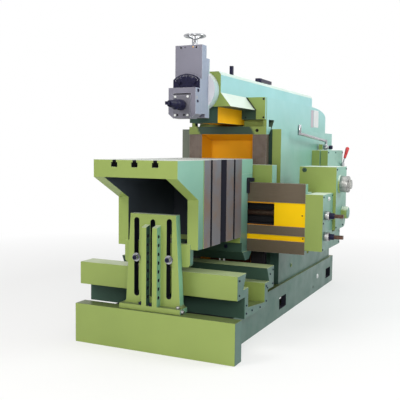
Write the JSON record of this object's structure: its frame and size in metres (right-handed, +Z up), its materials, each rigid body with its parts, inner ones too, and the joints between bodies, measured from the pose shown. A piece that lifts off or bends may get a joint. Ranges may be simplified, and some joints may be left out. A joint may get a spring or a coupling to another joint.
{
  "type": "metal shaper",
  "caption": "Heavy crank shaper: a dovetail ram with a swivel tool head on a cast column, a box table on a lifting cross rail, a slotted support and a chip trough on the base.",
  "frame": {"origin": "on the floor, under the front plane of the cross rail's ways, on the ram's centre plane", "axes": "+X to the machine's right, +Y to its rear along the ram, +Z up; the tool head faces -Y"},
  "size_m": [1.427, 2.716, 1.778],
  "materials": {
    "green_paint": "satin",
    "mint_paint": "satin",
    "yellow_paint": "satin",
    "way_steel": "ground",
    "head_metal": "satin",
    "plain_steel": "satin",
    "bright_steel": "polished",
    "black_steel": "blackened",
    "red_grip": "gloss",
    "belt_rubber": "matte"
  },
  "bodies": {
    "frame": {"base": "green_paint", "chip_trough": "green_paint", "column": "mint_paint", "guide_plates": "green_paint", "rear_cover": "mint_paint", "lever_box": "green_paint", "belt_guard": "mint_paint", "belts": "belt_rubber", "motor": "mint_paint", "lift_nut": "plain_steel", "rocker_bracket": "green_paint", "rocker_pin": "plain_steel", "gear_bearing": "plain_steel"},
    "carriage": {"ram_nut_block": "plain_steel", "link_pin": "plain_steel"},
    "ram": {"ram": "mint_paint"},
    "ram_screw": {"ram_screw": "plain_steel"},
    "adjust_shaft": {"adjust_shaft": "black_steel"},
    "clamp_handle": {"clamp_handle": "black_steel"},
    "head": {"head_base": "head_metal"},
    "handwheel": {"handwheel": "bright_steel", "downfeed_screw": "plain_steel"},
    "tool_slide": {"tool_slide": "head_metal", "downfeed_nut": "plain_steel"},
    "clapper_box": {"clapper_box": "head_metal", "scale_plate": "black_steel", "clapper_pin": "plain_steel"},
    "clapper": {"clapper_plate": "head_metal", "plate_screws": "bright_steel", "tool_post": "black_steel", "tool_post_screw": "black_steel"},
    "rail": {"cross_rail": "way_steel", "rail_keeps": "way_steel", "rail_covers": "yellow_paint", "feed_box": "green_paint", "feed_gearbox": "green_paint", "gearbox_cap": "green_paint"},
    "traverse_screw": {"traverse_screw": "plain_steel"},
    "lift_shaft": {"lift_shaft": "plain_steel"},
    "lift_screw": {"lift_screw": "plain_steel"},
    "feed_dial": {"feed_dial": "bright_steel"},
    "table": {"table": "green_paint", "saddle": "green_paint", "upper_keep": "way_steel", "lower_keep": "green_paint", "traverse_nut": "plain_steel", "lug_bolts": "bright_steel"},
    "support": {"support_bracket": "green_paint", "foot_bolts": "plain_steel"},
    "speed_lever": {"speed_lever": "bright_steel", "lever_grip": "red_grip"},
    "clutch_lever": {"clutch_lever": "bright_steel"},
    "bull_gear": {"bull_gear": "plain_steel", "crank_block": "plain_steel"},
    "pinion": {"pinion_shaft": "plain_steel", "driven_pulley": "plain_steel"},
    "motor_pulley": {"motor_pulley": "plain_steel"},
    "rocker": {"rocker_arm": "plain_steel"}
  },
  "joints": [
    {"name": "ram_stroke", "type": "slide", "parent": "frame", "child": "carriage", "axis": [0, -1, 0], "range_m": [-0.05, 0.85]},
    {"name": "ram_position", "type": "slide", "parent": "carriage", "child": "ram", "axis": [0, -1, 0], "range_m": [-0.08, 0.1]},
    {"name": "ram_screw_turn", "type": "hinge", "parent": "ram", "child": "ram_screw", "pos_m": [0, 0.5, 1.412], "axis": [0, 1, 0], "range_deg": [-12000, 12000]},
    {"name": "adjust_turn", "type": "hinge", "parent": "ram", "child": "adjust_shaft", "pos_m": [0, 0.243, 1.6], "axis": [0, 0, 1], "range_deg": [-12000, 12000]},
    {"name": "clamp_turn", "type": "hinge", "parent": "ram", "child": "clamp_handle", "pos_m": [0, 0.76, 1.6], "axis": [0, 0, 1], "range_deg": [-45, 45]},
    {"name": "head_swivel", "type": "hinge", "parent": "ram", "child": "head", "pos_m": [0, -0.3, 1.456], "axis": [0, -1, 0], "range_deg": [-60, 60]},
    {"name": "tool_feed", "type": "slide", "parent": "head", "child": "tool_slide", "axis": [0, 0, -1], "range_m": [-0.04, 0.09]},
    {"name": "handwheel_turn", "type": "hinge", "parent": "head", "child": "handwheel", "pos_m": [0, -0.325, 1.745], "axis": [0, 0, 1], "range_deg": [-8000, 8000]},
    {"name": "clapper_swivel", "type": "hinge", "parent": "tool_slide", "child": "clapper_box", "pos_m": [0, -0.41, 1.44], "axis": [0, -1, 0], "range_deg": [-15, 15]},
    {"name": "clapper_lift", "type": "hinge", "parent": "clapper_box", "child": "clapper", "pos_m": [0, -0.469, 1.4], "axis": [-1, 0, 0], "range_deg": [0, 20]},
    {"name": "rail_lift", "type": "slide", "parent": "frame", "child": "rail", "axis": [0, 0, 1], "range_m": [-0.11, 0.11]},
    {"name": "table_traverse", "type": "slide", "parent": "rail", "child": "table", "axis": [1, 0, 0], "range_m": [-0.28, 0.28]},
    {"name": "support_slide", "type": "slide", "parent": "frame", "child": "support", "axis": [1, 0, 0], "range_m": [-0.281, 0.281]},
    {"name": "traverse_turn", "type": "hinge", "parent": "rail", "child": "traverse_screw", "pos_m": [0, 0.045, 0.709], "axis": [1, 0, 0], "range_deg": [-9000, 9000]},
    {"name": "lift_turn", "type": "hinge", "parent": "rail", "child": "lift_shaft", "pos_m": [0.7, 0.045, 0.582], "axis": [1, 0, 0], "range_deg": [-4000, 4000]},
    {"name": "lift_screw_turn", "type": "hinge", "parent": "rail", "child": "lift_screw", "pos_m": [0, 0.13, 0.5], "axis": [0, 0, 1], "range_deg": [-4000, 4000]},
    {"name": "feed_dial_turn", "type": "hinge", "parent": "rail", "child": "feed_dial", "pos_m": [0.76, 0.33, 0.89], "axis": [1, 0, 0], "continuous": true},
    {"name": "speed_lever_swing", "type": "hinge", "parent": "frame", "child": "speed_lever", "pos_m": [0.49, 1.4, 0.985], "axis": [1, 0, 0], "range_deg": [-18, 18]},
    {"name": "clutch_swing", "type": "hinge", "parent": "frame", "child": "clutch_lever", "pos_m": [0.42, 1.14, 1.128], "axis": [1, 0, 0], "range_deg": [-8, 8]},
    {"name": "bull_gear_turn", "type": "hinge", "parent": "frame", "child": "bull_gear", "pos_m": [-0.11, 0.85, 0.72], "axis": [1, 0, 0], "continuous": true},
    {"name": "pinion_turn", "type": "hinge", "parent": "frame", "child": "pinion", "pos_m": [-0.11, 1.259, 0.72], "axis": [1, 0, 0], "continuous": true},
    {"name": "motor_turn", "type": "hinge", "parent": "frame", "child": "motor_pulley", "pos_m": [-0.42, 1.38, 0.38], "axis": [1, 0, 0], "continuous": true},
    {"name": "rocker_swing", "type": "hinge", "parent": "frame", "child": "rocker", "pos_m": [0, 0.85, 0.29], "axis": [1, 0, 0], "range_deg": [-8, 53]}
  ],
  "couplings": [
    {"joint": "ram_screw_turn", "follows": "ram_position", "rad_per_m": 628.32},
    {"joint": "adjust_turn", "follows": "ram_position", "rad_per_m": 628.32},
    {"joint": "handwheel_turn", "follows": "tool_feed", "rad_per_m": -1047.2},
    {"joint": "support_slide", "follows": "table_traverse", "ratio": 1},
    {"joint": "traverse_turn", "follows": "table_traverse", "rad_per_m": 523.6},
    {"joint": "lift_turn", "follows": "rail_lift", "rad_per_m": 523.6},
    {"joint": "lift_screw_turn", "follows": "rail_lift", "rad_per_m": 523.6},
    {"joint": "pinion_turn", "follows": "bull_gear_turn", "ratio": -3.8333},
    {"joint": "motor_turn", "follows": "bull_gear_turn", "ratio": -11.896},
    {"joint": "rocker_swing", "follows": "ram_stroke", "rad_per_m": 1.0062}
  ]
}
